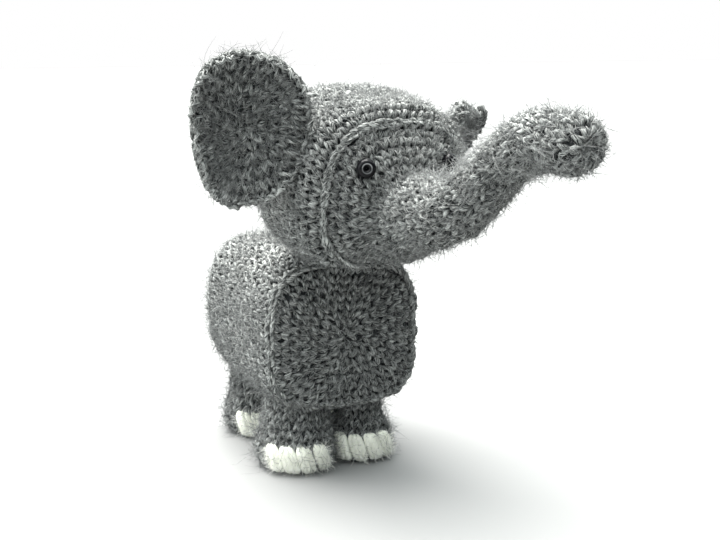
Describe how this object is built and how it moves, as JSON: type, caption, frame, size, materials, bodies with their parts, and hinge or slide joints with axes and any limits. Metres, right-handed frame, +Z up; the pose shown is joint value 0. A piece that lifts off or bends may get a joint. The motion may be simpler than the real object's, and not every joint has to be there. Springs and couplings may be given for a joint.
{
  "type": "stuffed elephant",
  "caption": "Small crocheted wool elephant toy with a raised bendable trunk, cupped ears that flap, bead eyes and a head that turns and nods.",
  "frame": {"origin": "on the surface that the toy stands on, under the middle of its bounding box", "axes": "+Z up, -Y is where the chest faces, +X is the elephant's own left"},
  "size_m": [0.1004, 0.1602, 0.117],
  "materials": {
    "grey_wool": "crocheted heathered charcoal wool, hairy",
    "cream_wool": "twisted cream-white wool",
    "fibre_filling": "loose polyester fibre",
    "glass_bead": "polished black",
    "black_thread": "thin sewing thread",
    "wire": "soft annealed wire"
  },
  "bodies": {
    "torso": {"body_cover": "grey_wool", "body_stuffing": "fibre_filling", "leg_cover_front_left": "grey_wool", "leg_cover_front_right": "grey_wool", "leg_cover_rear_left": "grey_wool", "leg_cover_rear_right": "grey_wool", "leg_stuffing_front_left": "fibre_filling", "leg_stuffing_front_right": "fibre_filling", "leg_stuffing_rear_left": "fibre_filling", "leg_stuffing_rear_right": "fibre_filling", "sole_front_left": "grey_wool", "sole_front_right": "grey_wool", "sole_rear_left": "grey_wool", "sole_rear_right": "grey_wool", "tail_knot": "grey_wool", "toenails_front_left": "cream_wool", "toenails_front_right": "cream_wool", "toenails_rear_left": "cream_wool", "toenails_rear_right": "cream_wool"},
    "neck": {"neck_seam": "grey_wool"},
    "head": {"ear_seam_left": "grey_wool", "ear_seam_right": "grey_wool", "eye_left": "glass_bead", "eye_right": "glass_bead", "eye_thread": "black_thread", "head_cover": "grey_wool", "head_stuffing": "fibre_filling", "trunk_cover_root": "grey_wool", "trunk_seam": "grey_wool", "trunk_stuffing_root": "fibre_filling", "trunk_wire_root": "wire"},
    "trunk_mid": {"trunk_cover_mid": "grey_wool", "trunk_stuffing_mid": "fibre_filling", "trunk_wire_mid": "wire"},
    "trunk_tip": {"trunk_cover_tip": "grey_wool", "trunk_stuffing_tip": "fibre_filling", "trunk_wire_tip": "wire"},
    "ear_right": {"ear_right": "grey_wool"},
    "ear_left": {"ear_left": "grey_wool"},
    "tail": {"tail": "grey_wool", "tail_tuft": "grey_wool"}
  },
  "joints": [
    {"name": "neck_turn", "type": "hinge", "parent": "torso", "child": "neck", "pos_m": [0.00057, 0.02065, 0.0617], "axis": [0, 0, 1], "range_deg": [-18, 18]},
    {"name": "head_nod", "type": "hinge", "parent": "neck", "child": "head", "pos_m": [0.00057, 0.02065, 0.0628], "axis": [0.9877, 0.1564, 0], "range_deg": [-8, 4]},
    {"name": "trunk_lift", "type": "hinge", "parent": "head", "child": "trunk_mid", "pos_m": [0.00885, -0.03157, 0.07953], "axis": [0.9877, 0.1564, 0], "range_deg": [-25, 25]},
    {"name": "trunk_curl", "type": "hinge", "parent": "trunk_mid", "child": "trunk_tip", "pos_m": [0.01204, -0.05168, 0.09372], "axis": [0.9877, 0.1564, 0], "range_deg": [-25, 25]},
    {"name": "ear_flap_right", "type": "hinge", "parent": "head", "child": "ear_right", "pos_m": [-0.02433, -0.00203, 0.09401], "axis": [0.1991, -0.1467, 0.9689], "range_deg": [-25, 30]},
    {"name": "ear_flap_left", "type": "hinge", "parent": "head", "child": "ear_left", "pos_m": [0.03019, 0.01367, 0.08359], "axis": [-0.0065, -0.1819, 0.9833], "range_deg": [-30, 25]},
    {"name": "tail_swing", "type": "hinge", "parent": "torso", "child": "tail", "pos_m": [-0.00043, 0.0773, 0.046], "axis": [0, 1, 0], "range_deg": [-35, 35]}
  ]
}
